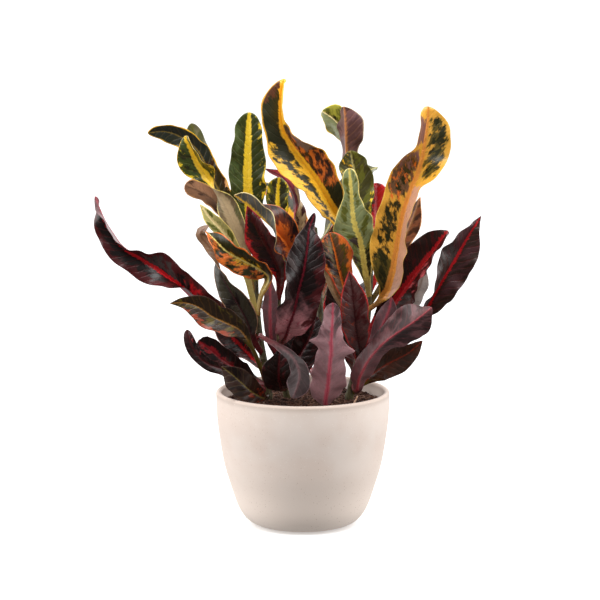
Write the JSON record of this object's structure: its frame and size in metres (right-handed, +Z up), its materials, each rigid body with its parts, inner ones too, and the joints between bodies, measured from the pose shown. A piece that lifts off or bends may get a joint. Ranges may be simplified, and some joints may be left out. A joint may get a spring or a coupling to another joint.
{
  "type": "potted croton",
  "caption": "Bushy croton with long twisting red, green and yellow leaves on short shoots, growing in a plain matte clay pot",
  "frame": {"origin": "middle of the pot's flat underside", "axes": "+Z up, the plant's best side looks along -Y, +X to its viewer's right"},
  "size_m": [0.3059, 0.1988, 0.3611],
  "materials": {
    "clay": "matte",
    "soil": "loose, matte",
    "bark": "matte",
    "leaf_maroon": "waxy, semi-gloss",
    "leaf_bronze": "waxy, semi-gloss",
    "leaf_lime": "waxy, semi-gloss",
    "leaf_gold": "waxy, semi-gloss",
    "leaf_ember": "waxy, semi-gloss",
    "leaf_pale": "waxy, semi-gloss",
    "leaf_crimson": "waxy, semi-gloss"
  },
  "bodies": {
    "root": {"pot": "clay", "potting_soil": "soil", "shoot_left": "bark", "shoot_middle": "bark", "shoot_right": "bark", "shoot_rear": "bark", "leaf_sweeping": "leaf_maroon", "leaf_amber": "leaf_bronze", "leaf_slate": "leaf_maroon", "leaf_ember_wave": "leaf_gold", "leaf_lime_twist": "leaf_lime", "leaf_arching": "leaf_bronze", "leaf_grey_tip": "leaf_lime", "leaf_blunt_bronze": "leaf_bronze", "leaf_pale_small": "leaf_pale", "leaf_upright_green": "leaf_lime", "leaf_ember_fold": "leaf_ember", "leaf_crimson_inner": "leaf_maroon", "leaf_plum": "leaf_maroon", "leaf_ember_right": "leaf_ember", "leaf_tan_narrow": "leaf_bronze", "leaf_rust_front": "leaf_maroon", "leaf_front_mauve": "leaf_maroon", "leaf_right_mauve": "leaf_maroon", "leaf_low_bronze": "leaf_bronze", "leaf_red_midrib": "leaf_maroon", "leaf_far_right": "leaf_maroon", "leaf_grey_sliver": "leaf_maroon", "leaf_gold_right": "leaf_gold", "leaf_dusky_back": "leaf_bronze", "leaf_red_peek": "leaf_crimson", "leaf_lime_back": "leaf_lime", "leaf_pale_center": "leaf_pale", "leaf_gold_left": "leaf_gold", "leaf_curl_mauve": "leaf_lime", "leaf_curl_green": "leaf_lime", "leaf_small_green": "leaf_lime", "leaf_pink_tip": "leaf_crimson", "leaf_tan_twist": "leaf_bronze", "leaf_claw": "leaf_maroon", "leaf_red_blaze": "leaf_maroon", "leaf_crescent": "leaf_maroon", "leaf_olive_low": "leaf_bronze", "leaf_hanging_mauve": "leaf_maroon", "leaf_low_dark": "leaf_maroon", "leaf_black_mid": "leaf_maroon", "leaf_dark_right": "leaf_maroon", "leaf_mauve_right": "leaf_maroon", "leaf_deep_shade": "leaf_maroon", "leaf_mauve_left": "leaf_maroon", "leaf_rear_1": "leaf_maroon", "leaf_rear_2": "leaf_maroon", "leaf_rear_3": "leaf_maroon", "leaf_rear_4": "leaf_maroon", "leaf_rear_5": "leaf_maroon", "leaf_rear_6": "leaf_bronze", "leaf_rear_7": "leaf_ember", "leaf_rear_8": "leaf_ember", "leaf_rear_9": "leaf_gold", "leaf_rear_10": "leaf_lime"}
  },
  "joints": []
}
